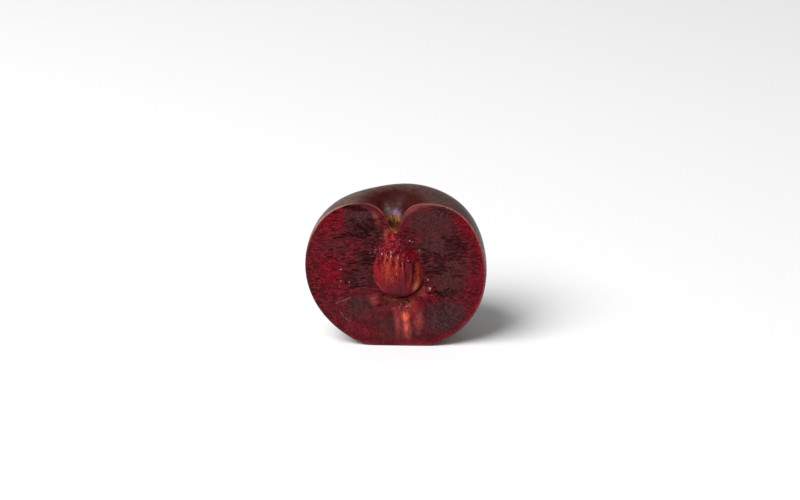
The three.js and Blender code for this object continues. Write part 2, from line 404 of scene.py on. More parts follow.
# Slits in the flesh: the two ends of each, with its width.
SLITS = (
    ((-16.6, 50.1), (-13.4, 49.9), 0.3), ((-12.6, 49.4), (-9.4, 48.9), 0.35),
    ((-20.6, 38.7), (-17.2, 39.2), 0.3), ((-12.9, 44.2), (-10.9, 42.0), 0.4),
    ((-11.0, 42.6), (-8.9, 39.8), 0.45), ((-16.4, 41.0), (-13.4, 39.7), 0.35),
    ((-13.0, 39.4), (-10.4, 38.9), 0.35), ((-8.6, 45.9), (-6.8, 45.3), 0.4),
    ((12.1, 34.1), (14.4, 33.4), 0.4), ((7.4, 35.6), (9.6, 34.9), 0.5), ((13.0, 20.4), (15.6, 18.4), 0.35),
)

# Clusters of short slits: the middle and half size of each, how many slits, and their turn from the grain.
SLIT_CLUSTERS = (
    ((20.6, 36.4), (4.4, 3.4), 34, 0), ((16.6, 39.0), (2.6, 2.0), 10, -14),
    ((19.4, 32.2), (5.0, 1.6), 14, 0), ((14.2, 30.8), (4.0, 2.6), 14, -6),
    ((13.6, 27.6), (4.2, 1.7), 22, 0), ((10.2, 32.6), (1.8, 3.0), 12, -10),
    ((15.0, 20.4), (4.4, 2.2), 16, 0), ((-11.4, 42.0), (3.0, 3.0), 22, -46),
    ((-13.8, 39.9), (4.0, 1.2), 12, -18), ((-13.6, 49.6), (4.2, 1.0), 12, -8),
    ((-8.2, 43.8), (1.6, 2.6), 10, -20), ((-9.4, 31.4), (2.0, 3.6), 22, 0),
    ((-14.4, 25.4), (4.4, 5.0), 30, 0), ((0, 30), (26, 20), 120, 0),
)

# Pale scratches in the flesh, as lines of points.
SCRATCH_WIDTH = 0.2
SCRATCHES = (
    ((-20.2, 15.5), (-17.4, 16.6), (-14.8, 17.8)),
    ((-18.9, 12.6), (-17.6, 10.6), (-16.6, 9.6), (-15.2, 8.9)),
)


def along_line(x, z, start, end):
    """How far points are from a line between two places, and how far along it they are, from 0 to 1."""
    start, end = np.array(start), np.array(end)
    line = end - start
    share = ((x - start[0]) * line[0] + (z - start[1]) * line[1]) / (line @ line)
    held = np.clip(share, 0, 1)
    gap = np.hypot(x - start[0] - held * line[0], z - start[1] - held * line[1])
    return gap, held


# The plum's core line, which the fibres run out from.
CORE_X, CORE_LOW, CORE_HIGH = 0.2, 21, 47
GRAIN_RADIUS = 13  # where a step across the grain is counted at its true size


def grain_direction(x, z):
    """The direction of the fibres, outwards from the plum's core line, at places on the cut face."""
    core_z = np.clip(z, CORE_LOW, CORE_HIGH)
    away = np.stack([x - CORE_X, z - core_z], -1)
    return away / np.maximum(np.linalg.norm(away, axis=-1, keepdims=True), 1e-6)


def grain_place(x, z):
    """Coordinates that change quickly across the fibres and only slowly along them, in mm."""
    length = CORE_HIGH - CORE_LOW
    core_z = np.clip(z, CORE_LOW, CORE_HIGH)
    side = np.arctan2(z - core_z, np.abs(x - CORE_X) + 1e-9)
    travelled = GRAIN_RADIUS * side + core_z - CORE_LOW
    whole = 2 * (length + math.pi * GRAIN_RADIUS)
    turn = np.where(x > CORE_X, travelled, whole / 2 - travelled) / whole * 2 * math.pi
    loop = whole / (2 * math.pi)
    from_core = np.hypot(x - CORE_X, z - core_z)
    return np.stack([loop * np.cos(turn), loop * np.sin(turn), from_core], -1)


def grain_noise(grain, across, along, seed=0):
    """Noise drawn out along the fibres."""
    return noise(grain / np.array([across, across, along]), seed)


def slit(gap, share, width, least):
    """How deep a slit is, from 0 to 1, at a gap from its line. It narrows to a least share at its ends."""
    taper = least + (1 - least) * np.sin(math.pi * (0.15 + 0.7 * share))
    return bell(gap, width * taper)


def placed_slits():
    """Every slit, as its two ends, its width and its strength from 0 to 1."""
    slits = [(np.array(start), np.array(end), width, 1.0) for start, end, width in SLITS]
    random = np.random.default_rng(SEED)
    for middle, half_size, count, turn in SLIT_CLUSTERS:
        for _ in range(count):
            place = np.array(middle) + np.clip(random.normal(0, 0.5, 2), -1, 1) * half_size
            along = grain_direction(place[0], place[1]) * random.uniform(0.35, 1.0)
            reach = np.array(turned(*along, -turn)) + random.normal(0, 0.08, 2)
            width, strength = random.uniform(0.2, 0.38), random.uniform(0.6, 1.0)
            slits.append((place - reach, place + reach, width, strength))
    return slits


def slit_depth(x, z):
    """How deep the slits cut into the flesh, from 0 to 1."""
    wander_x = 0.2 * flat_noise(x, z, 0.9, 41)
    wander_z = 0.2 * flat_noise(x, z, 0.9, 42)
    depth = np.zeros_like(x)
    for start, end, width, strength in placed_slits():
        middle, reach = (start + end) / 2, np.linalg.norm(end - start) / 2 + 1
        near = np.hypot(x - middle[0], z - middle[1]) < reach
        gap, share = along_line(x[near] + wander_x[near], z[near] + wander_z[near], start, end)
        depth[near] = np.maximum(depth[near], strength * slit(gap, share, width, 0.45))
    return depth


def scratch_height(x, z):
    """The fine raised scratches, from 0 to 1."""
    height = np.zeros_like(x)
    for line in SCRATCHES:
        for start, end in itertools.pairwise(line):
            gap, _ = along_line(x, z, start, end)
            height = np.maximum(height, bell(gap, SCRATCH_WIDTH))
    return height


# How wide the edges of the patches are, as a share of their size.
PATCH_EDGES = {
    "crimson": 0.45, "sheen": 0.5, "dark": 0.6, "orange": 0.9, "ochre": 0.5, "olive": 0.6, "wet": 0.5,
}

# Relief of the cut face, in mm.
WAVE_HEIGHT = 0.12
FIBRE_HEIGHT = 0.08
LUMP_HEIGHT = 0.06
WET_LUMP_HEIGHT = 0.24
WET_FIBRE_HEIGHT = 0.06
SLIT_DEPTH = 0.4
SCRATCH_HEIGHT = 0.08
DARK_DEPTH = 0.1
GROOVE_DEPTH = 0.22  # of a shallow groove inside the skin
GROOVE_FROM_RIM = 1.6
GROOVE_WIDTH = 1.1


def face_masks(x, z, degrees, from_rim):
    """What the flesh is like at places on the cut face, each from 0 to 1. degrees are round the outline."""
    masks = {key: patches(x, z, places, PATCH_EDGES[key]) for key, places in FACE_PATCHES.items()}
    wander = 0.7 * flat_noise(x, z, 2.2, 5) + 0.35 * flat_noise(x, z, 0.8, 6)
    band = smoothstep(0.3, 0.9, from_rim) * smoothstep(3.6, 1.2, from_rim + wander)
    masks["crimson"] = np.maximum(masks["crimson"], by_angle(CRIMSON_BAND, degrees) * band)
    width = by_angle(SALMON_WIDTH, degrees)
    band = smoothstep(1.3 * width, 0.5 * width, from_rim + 0.4 * wander)
    masks["salmon"] = by_angle(SALMON_BAND, degrees) * band
    # The cut skin's tan line, with a highlight painted on it where it faces the light.
    band = smoothstep(0.75, 0.25, from_rim + 0.15 * wander)
    masks["edge"] = by_angle(CUT_SKIN_AND_HIGHLIGHT_BAND, degrees) * band
    masks["sheen"] = masks["sheen"] * (1 - masks["crimson"]) * (1 - masks["orange"])
    masks["fibrous"] = (1 - 0.75 * masks["sheen"]) * (0.2 + 0.8 * smoothstep(10, 22, z + 0.15 * np.abs(x)))
    unslit = np.maximum.reduce([masks["ochre"], masks["orange"], masks["wet"]])
    masks["slit"] = slit_depth(x, z) * (1 - unslit)
    masks["scratch"] = scratch_height(x, z)
    return masks


def face_relief(x, z, masks, from_rim, from_stone):
    """How far the cut face stands out from its plane, in mm."""
    grain = grain_place(x, z)
    fibre = 0.6 * grain_noise(grain, 0.6, 2.2, 1) + 0.4 * grain_noise(grain, 0.35, 1.2, 2)
    lumps = 0.6 * flat_noise(x, z, 0.9, 3) + 0.4 * flat_noise(x, z, 0.45, 4)
    waves = flat_noise(x, z, 8, 6) + 0.5 * flat_noise(x, z, 3.5, 7)
    relief = WAVE_HEIGHT * waves + masks["fibrous"] * (FIBRE_HEIGHT * fibre + LUMP_HEIGHT * lumps)
    relief = relief + masks["wet"] * (WET_LUMP_HEIGHT * lumps + WET_FIBRE_HEIGHT * fibre)
    relief = relief + LUMP_HEIGHT * masks["crimson"] * lumps
    relief = relief - SLIT_DEPTH * masks["slit"] * (1 - 0.4 * masks["sheen"])
    relief = relief + SCRATCH_HEIGHT * masks["scratch"]
    relief = relief - DARK_DEPTH * masks["dark"] * (1 + lumps)
    relief = relief - GROOVE_DEPTH * bell(from_rim - GROOVE_FROM_RIM, GROOVE_WIDTH)
    return relief * smoothstep(0, 0.5, from_rim) * smoothstep(0, 0.3, from_stone + 0.1)


# ---- Meshes ----

def add_object(name, data):
    """A new object in the scene."""
    thing = bpy.data.objects.new(name, data)
    bpy.context.scene.collection.objects.link(thing)
    return thing


def closed_mesh(name, rings, poles, materials, ring_materials, attributes, clockwise=False):
    """A closed mesh in metres, from rings of points in mm that run from one pole to the other.

    ring_materials has the index of the material that follows each ring. Seen from the last pole, the rings
    turn anticlockwise, or clockwise where that is said.
    """
    count, columns = rings.shape[:2]
    points = np.concatenate([[poles[0]], rings.reshape(-1, 3), [poles[1]]]) * MM
    here = 1 + np.arange(count * columns).reshape(count, columns)
    after = np.roll(here, -1, axis=1)
    faces = np.stack([np.zeros(columns, int), after[0], here[0]], -1).tolist()
    faces += np.stack([here[:-1], after[:-1], after[1:], here[1:]], -1).reshape(-1, 4).tolist()
    faces += np.stack([here[-1], after[-1], np.full(columns, len(points) - 1)], -1).tolist()
    mesh = bpy.data.meshes.new(name)
    mesh.from_pydata(points.tolist(), [], faces)
    for material in materials:
        mesh.materials.append(material)
    slots = np.repeat([ring_materials[0], *ring_materials], columns)
    mesh.polygons.foreach_set("material_index", slots.astype(np.int32))
    mesh.polygons.foreach_set("use_smooth", np.ones(len(mesh.polygons), bool))
    for key, values in attributes.items():
        add_attribute(mesh, key, np.asarray(values, float))
    if clockwise:
        mesh.flip_normals()
    mesh.update()
    return add_object(name, mesh)


def add_attribute(mesh, key, values):
    """A number or a vector for each point of a closed mesh's rings. Each pole takes its ring's mean."""
    ends = values[[0, -1]].mean(1)
    points = values.reshape(-1, *values.shape[2:])
    values = np.concatenate([ends[:1], points, ends[1:]]).astype(np.float32)
    kind, field = ("FLOAT_VECTOR", "vector") if values.ndim == 2 else ("FLOAT", "value")
    mesh.attributes.new(key, kind, "POINT").data.foreach_set(field, values.ravel())


# ---- Materials ----

class Nodes:
    """A node tree, with a short call for each kind of node that is used here."""

    def __init__(self, tree):
        self.tree = tree

    def put(self, socket, value):
        """Links a socket to an input, or sets a plain value on it."""
        if isinstance(value, bpy.types.NodeSocket):
            self.tree.links.new(value, socket)
        elif socket.type == "RGBA":
            socket.default_value = (*value, 1)
        else:
            socket.default_value = value

    def node(self, kind, inputs, **settings):
        """A new node, by the end of its type's name, with its inputs and settings."""
        node = self.tree.nodes.new("ShaderNode" + kind)
        for key, value in settings.items():
            setattr(node, key, value)
        for key, value in inputs.items():
            self.put(node.inputs[key], value)
        return node

    def math(self, operation, first, second=0.0, clamp=False):
        return self.node("Math", {0: first, 1: second}, operation=operation, use_clamp=clamp).outputs[0]

    def times(self, first, second):
        return self.math("MULTIPLY", first, second)

    def plus(self, first, second):
        return self.math("ADD", first, second)

    def attribute(self, name, output="Fac"):
        return self.node("Attribute", {}, attribute_name=name).outputs[output]

    def place(self):
        """The surface's place on the object, in mm."""
        metres = self.node("TexCoord", {}).outputs["Object"]
        return self.stretch(metres, (1 / MM, 1 / MM, 1 / MM))

    def weighted(self, *pairs):
        """The sum of several values, each times its weight."""
        return functools.reduce(self.plus, [self.times(value, weight) for value, weight in pairs])

    def less(self, first, second, clamp=False):
        return self.math("SUBTRACT", first, second, clamp)

    def vector(self, operation, first, second, output=0):
        return self.node("VectorMath", {0: first, 1: second}, operation=operation).outputs[output]

    def stretch(self, vector, factors):
        return self.vector("MULTIPLY", vector, factors)

    def channel(self, colour, index):
        return self.node("SeparateColor", {0: colour}).outputs[index]

    def noise(self, vector, size, detail=2.0, roughness=0.5, output="Fac"):
        """Noise from 0 to 1 with features about size mm across."""
        inputs = {"Vector": vector, "Scale": 1 / size, "Detail": detail, "Roughness": roughness}
        return self.node("TexNoise", inputs).outputs[output]

    def streaks(self, vector, across, along, detail=2.0):
        """Noise drawn out along the third coordinate of a vector in mm."""
        return self.noise(self.stretch(vector, (1 / across, 1 / across, 1 / along)), 1.0, detail)

    def cells(self, vector, size):
        """Cells about size mm apart: how far each one's middle is, where it is, and a random colour."""
        outputs = self.node("TexVoronoi", {"Vector": vector, "Scale": 1 / size}).outputs
        return outputs["Distance"], outputs["Position"], outputs["Color"]

    def step(self, value, low, high, to_low=0.0, to_high=1.0):
        """A smooth step between two values."""
        inputs = {"Value": value, "From Min": low, "From Max": high, "To Min": to_low, "To Max": to_high}
        return self.node("MapRange", inputs, interpolation_type="SMOOTHSTEP").outputs[0]

    def mix(self, factor, first, second):
        """A colour between two."""
        inputs = {0: factor, 6: first, 7: second}
        return self.node("Mix", inputs, data_type="RGBA").outputs[2]

    def cover(self, colour, *layers):
        """A colour with tints over it, each with its attribute, a pattern and the limits of a step."""
        for tint, name, pattern, limits in layers:
            share = self.times(self.attribute(name), self.step(pattern, *limits))
            colour = self.mix(share, colour, tint)
        return colour

    def bump(self, height, distance_mm):
        """A surface normal from a height that counts for distance_mm at 1."""
        return self.node("Bump", {"Height": height, "Distance": distance_mm * MM}).outputs["Normal"]

    def beads(self, place, size, share):
        """Wet beads about size mm across, on a share of the surface.

        Gives where they are, and a height in mm that tilts each one's face upwards.
        """
        _, middle, random = self.cells(place, size)
        tilt = self.vector("ADD", self.stretch(random, BEAD_SPREAD), BEAD_TILT)
        height = self.vector("DOT_PRODUCT", self.vector("SUBTRACT", place, middle), tilt, "Value")
        chosen = self.math("LESS_THAN", self.channel(random, 1), share)
        return chosen, self.times(chosen, height)


class Material(Nodes):
    """A new material's node tree and its shader."""

    def __init__(self, name):
        self.material = bpy.data.materials.new(name)
        self.material.use_nodes = True
        super().__init__(self.material.node_tree)
        self.shader = self.tree.nodes["Principled BSDF"]

    def set(self, **inputs):
        """Sets the shader's inputs, named with _ for a space."""
        for key, value in inputs.items():
            self.put(self.shader.inputs[key.replace("_", " ")], value)


# The wet beads: their size, and the least slopes of their faces and how much more they may be.
BEAD_SIZE = 0.46
BEAD_TILT = (0.11, 0, -1.09)
BEAD_SPREAD = (0.42, 0, 0.42)
WET_COAT = {"IOR": 1.33, "Specular_IOR_Level": 0.1, "Coat_IOR": 1.9, "Coat_Roughness": 0.08}

FLESH_MAROON = (0.036, 0.0022, 0.004)
FLESH_RED = (0.135, 0.009, 0.015)
FLESH_PINK = (0.12, 0.012, 0.017)
FLESH_DARK = (0.01, 0.001, 0.0014)
FLESH_DUSKY = (0.08, 0.03, 0.034)
FLESH_MAUVE = (0.062, 0.0056, 0.008)
FLESH_MAUVE_DARK = (0.026, 0.0022, 0.0032)
# Painted shade in the slits.
FLESH_SLIT_SHADE = (0.018, 0.0004, 0.0008)
FLESH_CRIMSON = (0.05, 0.0004, 0.0026)
FLESH_SCARLET = (0.22, 0.001, 0.01)
FLESH_SPECK = (0.34, 0.028, 0.05)
STRAND_ORANGE = (0.86, 0.158, 0.068)
STRAND_SALMON = (0.36, 0.062, 0.05)
WALL_SALMON = (0.21, 0.048, 0.043)
# The cut skin's pale tan, brightened as a painted highlight.
CUT_SKIN_AND_HIGHLIGHT = (0.38, 0.2, 0.165)
OCHRE = (0.24, 0.07, 0.008)
OLIVE = (0.05, 0.012, 0.006)
OLIVE_PALE = (0.19, 0.06, 0.018)
SCRATCH = (0.24, 0.07, 0.07)


def flesh_colour(m, fibre, fine_fibre, fibres, speckle, fine, cloud):
    """The flesh's colour, from patterns of fibres, specks and clouds."""
    streaky = m.mix(m.step(fibres, 0.44, 0.59), FLESH_MAROON, FLESH_RED)
    smooth = m.step(m.weighted((cloud, 0.65), (speckle, 0.35)), 0.38, 0.62)
    smooth = m.mix(smooth, FLESH_MAROON, FLESH_PINK)
    colour = m.mix(m.attribute("fibrous"), smooth, streaky)

    mottled = m.weighted((speckle, 0.5), (fine, 0.3), (fine_fibre, 0.2))
    mauve = m.mix(m.step(mottled, 0.43, 0.57), FLESH_MAUVE_DARK, FLESH_MAUVE)
    grainy = m.weighted((speckle, 0.25), (fine_fibre, 0.5), (fine, 0.25))
    red = m.mix(m.step(grainy, 0.43, 0.60), FLESH_CRIMSON, FLESH_SCARLET)
    red = m.mix(m.step(fine, 0.60, 0.70, 0.0, 0.55), red, FLESH_SPECK)
    brown = m.mix(m.step(fine, 0.5, 0.64), OLIVE, OLIVE_PALE)
    strand = m.step(m.attribute("orange"), 0.45, 0.9, 0.0, 0.85)
    strand = m.mix(strand, STRAND_SALMON, STRAND_ORANGE)

    colour = m.cover(
        colour,
        (mauve, "sheen", fine, (0.3, 0.65, 0.75, 1.0)),
        (red, "crimson", m.plus(speckle, cloud), (0.75, 1.1, 0.75, 1.0)),
        (FLESH_DARK, "dark", speckle, (0.35, 0.65, 1.0, 0.4)),
        (FLESH_DUSKY, "dark", fine_fibre, (0.50, 0.62, 0.0, 0.55)),
        (brown, "olive", speckle, (0.3, 0.6, 0.4, 1.0)),
        (strand, "orange", fibre, (0.36, 0.56, 0.5, 1.0)),
        (WALL_SALMON, "salmon", fibre, (0.3, 0.6, 0.5, 1.0)),
        (OCHRE, "ochre", speckle, (0.35, 0.6, 0.2, 1.0)),
        (SCRATCH, "scratch", speckle, (0.35, 0.6, 0.0, 0.8)),
    )
    # The slits are darkened with painted shade, as deep as they cut.
    colour = m.mix(m.math("MULTIPLY", m.attribute("slit"), 1.15, clamp=True), colour, FLESH_SLIT_SHADE)
    # The cut skin's pale edge: partly its own colour, partly a painted highlight.
    return m.cover(colour, (CUT_SKIN_AND_HIGHLIGHT, "edge", speckle, (0.25, 0.6, 0.55, 1.0)))


def flesh_material():
    """Wet dark red flesh: fibres along the grain, crimson, orange and smooth places, and slits."""
    m = Material("plum_flesh")
    place, grain = m.place(), m.attribute("grain", "Vector")
    fibre = m.streaks(grain, 0.6, 2.2, 3.0)
    fine_fibre = m.streaks(grain, 0.34, 1.2, 2.0)
    speckle = m.noise(place, 0.55, 3.0, 0.65)
    fine = m.noise(place, 0.34, 2.0, 0.6)
    cloud = m.noise(place, 3.6, 3.0, 0.55)
    fibres = m.weighted((fibre, 0.45), (fine_fibre, 0.35), (speckle, 0.2))
    colour = flesh_colour(m, fibre, fine_fibre, fibres, speckle, fine, cloud)

    sheen, wet, rough = m.attribute("sheen"), m.attribute("wet"), m.attribute("fibrous")
    height = m.weighted((fibres, rough), (fine, 0.4))
    bead, bead_height = m.beads(place, BEAD_SIZE, m.times(m.times(wet, wet), 0.13))
    patchy = m.step(m.weighted((speckle, 0.5), (fine, 0.5)), 0.38, 0.62, 0.25, 1.75)
    film = m.times(m.plus(0.02, m.times(sheen, 0.10)), patchy)
    film = m.times(film, m.less(1.0, m.attribute("slit")))
    film = m.times(film, m.step(wet, 0.0, 1.0, 1.0, 0.4))
    ripples = m.times(m.plus(m.times(speckle, 0.5), fine), rough)
    glossy = m.plus(m.times(ripples, 0.3), bead_height)
    m.set(Base_Color=colour, Roughness=m.step(sheen, 0.0, 1.0, 0.5, 0.3), Normal=m.bump(height, 0.16))
    m.set(**WET_COAT, Coat_Weight=m.plus(film, m.times(bead, 0.6)), Coat_Normal=m.bump(glossy, 1.0))
    m.set(Subsurface_Weight=0.12, Subsurface_Radius=(1.0, 0.18, 0.12), Subsurface_Scale=0.8 * MM)
    return m.material


SKIN_BLACK = (0.017, 0.0028, 0.0026)
SKIN_MAROON = (0.042, 0.006, 0.0054)
SKIN_RED = (0.034, 0.0036, 0.003)
SKIN_COPPER = (0.24, 0.09, 0.048)
SKIN_TAN = (0.34, 0.155, 0.09)
# A grey for real dust on the skin, also used as painted sheen on its top and its left side.
SKIN_DUST_AND_SHEEN = (0.14, 0.098, 0.078)
# A violet painted highlight for the basin's wall.
SKIN_PAINTED_GLINT = (0.27, 0.19, 0.32)
CORK = (0.33, 0.13, 0.036)
CORK_DARK = (0.034, 0.011, 0.004)

# Two sizes of dots on the skin: how far apart they are, how much of that they fill, and their colour.
SKIN_DOTS = ((1.15, 0.54, SKIN_COPPER), (0.75, 0.58, SKIN_TAN))


def skin_material():
    """Dark maroon skin with copper dots, bare and redder towards the stem, and cork round the scar."""
    m = Material("plum_skin")
    place = m.place()
    cloud = m.noise(place, 9.0, 3.0, 0.6)
    mottle = m.noise(place, 1.6, 3.0, 0.6)
    fine = m.noise(place, 0.35, 2.0, 0.6)
    colour = m.cover(
        m.mix(m.step(mottle, 0.35, 0.65), SKIN_BLACK, SKIN_MAROON),
        (SKIN_RED, "blush", cloud, (0.4, 0.6, 0.0, 0.9)),
        # Grey dust on the skin that also serves as painted sheen and a painted highlight.
        (SKIN_DUST_AND_SHEEN, "dust_and_sheen", mottle, (0.3, 0.7, 0.3, 0.8)),
        # A violet highlight painted on the basin's wall behind the scar.
        (SKIN_PAINTED_GLINT, "painted_glint", fine, (0.3, 0.6, 0.3, 0.9)),
    )

    height = m.times(fine, 0.25)
    wavy = m.noise(place, 0.6, 2.0, output="Color")
    bent = m.vector("ADD", place, m.stretch(wavy, (0.5, 0.5, 0.5)))
    crowd = m.plus(m.attribute("dots"), m.times(m.plus(cloud, -0.5), 1.1))
    for size, reach, tint in SKIN_DOTS:
        distance, _, random = m.cells(bent, size)
        radius = m.times(m.less(crowd, m.channel(random, 0), clamp=True), reach)
        dot = m.step(m.less(radius, distance), -0.04, 0.10)
        colour = m.mix(m.times(dot, m.step(fine, 0.25, 0.6, 0.55, 1.0)), colour, tint)
        height = m.plus(height, m.times(dot, 0.6))

    cork, damp = m.attribute("cork"), m.attribute("damp")
    colour = m.mix(cork, colour, m.mix(m.step(fine, 0.35, 0.6), CORK_DARK, CORK))
    colour = m.mix(m.attribute("pit"), colour, CORK_DARK)
    gloss = m.step(m.attribute("dull"), 0.0, 1.0, 0.42, 0.02)
    gloss = m.plus(gloss, m.times(damp, m.step(mottle, 0.45, 0.55, 0.0, 0.5)))
    gloss = m.times(m.less(1.0, cork), gloss)
    waves = m.plus(m.plus(height, mottle), m.times(m.times(damp, fine), 8.0))
    m.set(Base_Color=colour, Roughness=m.step(mottle, 0.3, 0.7, 0.45, 0.6), Normal=m.bump(height, 0.05))
    m.set(IOR=1.42, Specular_IOR_Level=0.05, Coat_IOR=1.42, Coat_Roughness=0.3)
    m.set(Coat_Weight=gloss, Coat_Normal=m.bump(waves, 0.06))
    return m.material


STONE_DARK = (0.055, 0.0012, 0.003)
STONE_RED = (0.19, 0.007, 0.01)
STONE_ROSE = (0.27, 0.03, 0.028)
# Painted shade in the slits between the ribs.
STONE_SLIT_SHADE = (0.042, 0.0008, 0.0014)

# The tints over the stone's ribs, each with its attribute and how much of it lies between the ribs.
STONE_TINTS = (
    ((0.1, 0.01, 0.02), "mauve", 0.45),
    ((0.26, 0.006, 0.024), "magenta", 0.4),
    (STONE_DARK, "dark", 0.5),
    ((0.305, 0.036, 0.012), "orange", 0.1),
    ((0.36, 0.085, 0.06), "pale", 0.3),
    ((0.5, 0.155, 0.078), "tan", 0.5),
)


def stone_material():
    """The stone's shell: woody ribs with red flesh left between them, smoother below, and darker below in its
    colour and in painted shade.
    """
    m = Material("plum_stone")
    place, grain = m.place(), m.attribute("grain", "Vector")
    fibre = m.streaks(grain, 0.6, 3.2, 3.0)
    fine_fibre = m.streaks(grain, 0.26, 1.3, 2.0)
    speckle = m.noise(place, 0.5, 3.0, 0.65)
    fine = m.noise(place, 0.26, 2.0, 0.6)
    rib = m.weighted((fibre, 0.3), (fine_fibre, 0.3), (speckle, 0.4))
    colour = m.mix(m.step(rib, 0.40, 0.52), STONE_DARK, STONE_RED)
    colour = m.mix(m.step(rib, 0.52, 0.62, 0.0, 0.6), colour, STONE_ROSE)
    for tint, name, least in STONE_TINTS:
        colour = m.cover(colour, (tint, name, rib, (0.40, 0.56, least, 1.0)))
    specks = m.step(m.weighted((speckle, 0.5), (fine, 0.5)), 0.36, 0.50, 0.55, 0.0)
    colour = m.mix(specks, colour, STONE_DARK)
    # The slits are darkened with painted shade.
    colour = m.mix(m.times(m.attribute("slit"), 0.8), colour, STONE_SLIT_SHADE)

    wet = m.attribute("wet")
    bead, bead_height = m.beads(place, BEAD_SIZE, m.plus(m.times(wet, 0.11), 0.002))
    glossy = m.plus(m.times(m.weighted((speckle, 0.4), (fine, 0.7)), 0.28), bead_height)
    roughness = m.step(wet, 0.0, 1.0, 0.34, 0.5)
    m.set(Base_Color=colour, Roughness=roughness, Normal=m.bump(m.plus(rib, fine), 0.16))
    m.set(**WET_COAT, Coat_Weight=m.plus(0.03, m.times(bead, 0.7)), Coat_Normal=m.bump(glossy, 1.0))
    return m.material


# ---- The half plum ----

def ring_noise(theta, size, seed):
    """Noise round a circle of a size, at angles theta in radians."""
    return noise(np.stack([size * np.cos(theta), size * np.sin(theta), 0 * theta], -1), seed)


class Opening:
    """The opening that the stone shows in, along angles theta in radians from the stone's middle.

    gap is how far the flesh has come away from the stone, and mouth how far out the flesh begins. flap is 1
    where the flap covers the stone's edge, and seen is how far out the stone is seen.
    """

    def __init__(self, theta):
        degrees = np.degrees(theta)
        jagged = ring_noise(theta, 9, 51) + 0.6 * ring_noise(theta, 24, 52)
        gap = by_angle(GAP_WIDTH, degrees) * (1 + GAP_UNEVENNESS * jagged)
        flap_edge = by_angle(FLAP_EDGE, degrees, 5) + FLAP_RAGGEDNESS * jagged
        self.theta = theta
        self.degrees = degrees
        self.gap = np.where(degrees > LEFT_SIDE, GAP_WIDTH[-120], gap)
        self.mouth = stone_reach(theta, 0) + self.gap
        self.flap = smoothstep(*FLAP_BEGINS, degrees) * smoothstep(*FLAP_ENDS, degrees)
        self.seen = self.mouth + self.flap * (np.minimum(flap_edge, self.mouth) - self.mouth)

    def lip(self, from_edge):
        """How far the flesh sinks beside a wide gap, at a distance from the opening's edge."""
        fade = np.exp(-((from_edge / (0.35 + 0.6 * self.gap)) ** 1.6))
        return LIP_DEPTH * np.maximum(self.gap - LIP_LEAST_GAP, 0) * fade


def hollow_rings(opening):
    """The rings of the hollow behind the stone, from its bottom up to the cut."""
    rings = []
    for behind in HOLLOW_DEPTHS:
        reach = stone_reach(opening.theta, behind, HOLLOW_CLEARANCE)
        reach = reach + HOLLOW_GAP_SHARE * opening.gap * math.exp(-behind / HOLLOW_GAP_DEPTH)
        x, z = around_stone(opening.theta, reach)
        rings.append(np.stack([x, np.full_like(x, CUT_Y + behind), z], -1))
    return rings


def under_rings(opening):
    """The two rings of the flap's underside, which follows the stone's front."""
    rings = []
    for share in UNDER_SHARES:
        x, z = around_stone(opening.theta, opening.mouth + share * (opening.seen - opening.mouth))
        raised = opening.flap * (proud(x, z) - FLAP_SUNK)
        y = CUT_Y + UNDER_DEPTH * (1 - share) - raised + opening.lip(0)
        rings.append(np.stack([x, y, z], -1))
    return rings


def face_rings(rim, opening):
    """The cut face's rings from the opening's edge to the skin: x, z, and how far the skin and edge are."""
    even = np.linspace(0, 1, FACE_RINGS)[:, None]
    share = even - RING_CROWDING * np.sin(2 * math.pi * even) / (2 * math.pi)
    start_x, start_z = around_stone(opening.theta, opening.seen)
    across, up = rim[:, 0] - start_x, rim[:, 2] - start_z
    length = np.hypot(across, up)
    return start_x + share * across, start_z + share * up, (1 - share) * length, share * length


def face_points(x, z, from_rim, from_edge, masks, opening):
    """The cut face's points, with its relief, the flap, the lip beside the gap and the rounded rim."""
    past_mouth = from_edge + opening.seen - opening.mouth
    swell = (0.3 + 0.6 * flat_noise(x, z, 1.0, 61)) * smoothstep(0, FLAP_SWELL_WITHIN, from_edge)
    flap = smoothstep(*FLAP_FADES, past_mouth) * (FLAP_THICKNESS + FLAP_SWELL * swell)
    flap = opening.flap * (flap + smoothstep(*FLAP_LEAVES_STONE, past_mouth) * proud(x, z))
    degrees = opening.degrees
    at_notch = smoothstep(*NOTCH_BEVEL_BEGINS, degrees) * smoothstep(*NOTCH_BEVEL_ENDS, degrees)
    bevel = BEVEL + NOTCH_BEVEL * at_notch
    rounded = bevel * np.clip(1 - from_rim / (2.2 * bevel), 0, 1) ** 2
    relief = face_relief(x, z, masks, from_rim, from_edge)
    return np.stack([x, CUT_Y - relief - flap + opening.lip(from_edge) + rounded, z], -1)


def skin_rings(angle):
    """The skin's rings, from just behind the cut to near the cheek's pole."""
    steps = (np.arange(1, SKIN_RINGS) / SKIN_RINGS) ** SKIN_CROWDING
    latitudes = CUT_LATITUDE + (math.pi / 2 - CUT_LATITUDE) * steps
    return [skin_points(angle, np.full_like(angle, latitude)) for latitude in latitudes]


